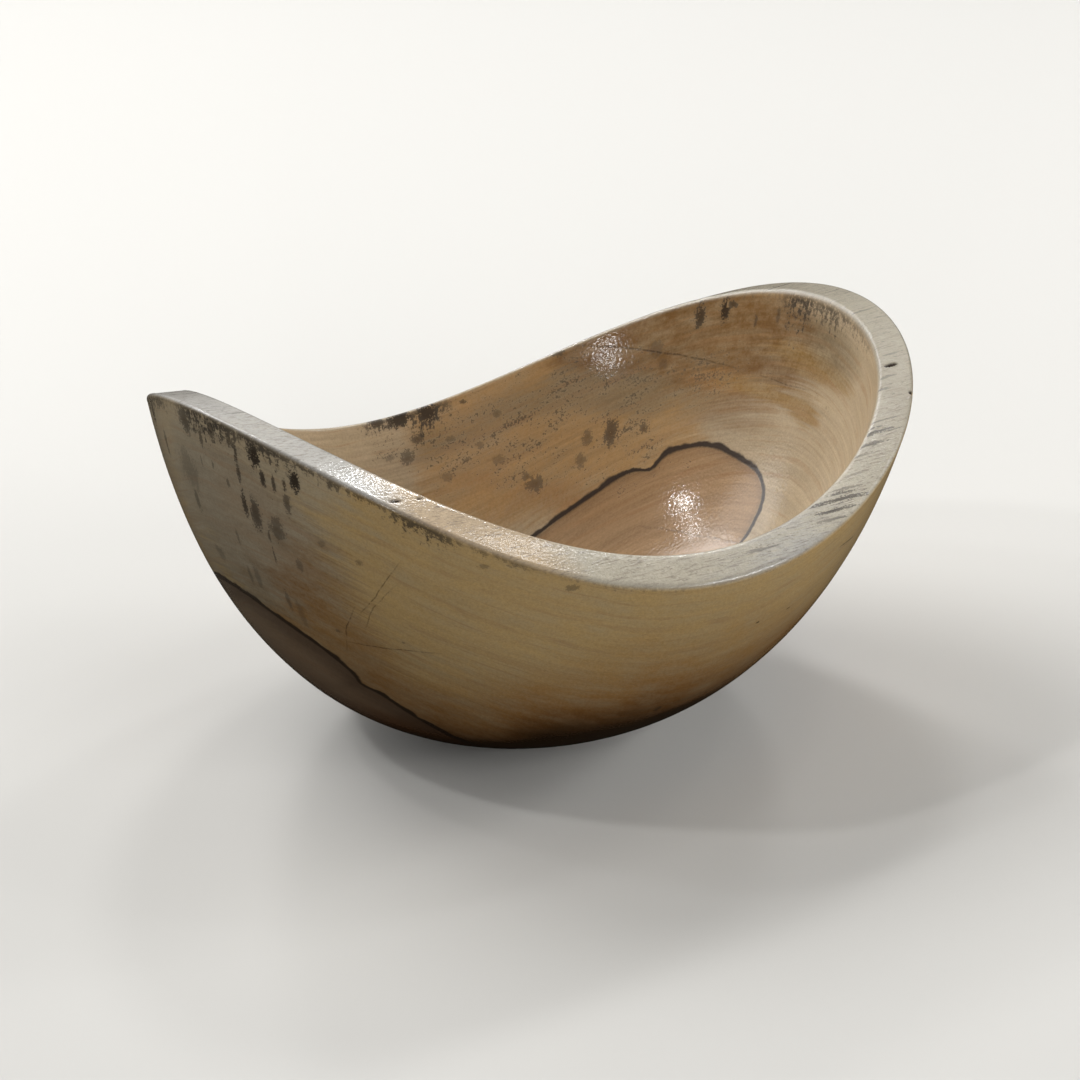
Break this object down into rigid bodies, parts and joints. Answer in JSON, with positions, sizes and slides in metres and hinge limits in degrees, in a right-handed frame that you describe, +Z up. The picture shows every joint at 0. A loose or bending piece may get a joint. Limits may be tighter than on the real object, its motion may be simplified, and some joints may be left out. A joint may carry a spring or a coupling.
{
  "type": "natural-edge wooden bowl",
  "caption": "Turned one-piece wooden bowl whose thick rim is the log's own rounded surface, high at both ends of the grain and low at the sides.",
  "frame": {"origin": "middle of the flat foot, on the surface the bowl stands on", "axes": "+X along the grain towards the lower of the two high tips, +Y across the grain towards the lowest side of the rim, +Z up"},
  "size_m": [0.2992, 0.2248, 0.1623],
  "materials": {
    "wood": "oiled satin"
  },
  "bodies": {
    "root": {"bowl": "wood"}
  },
  "joints": []
}
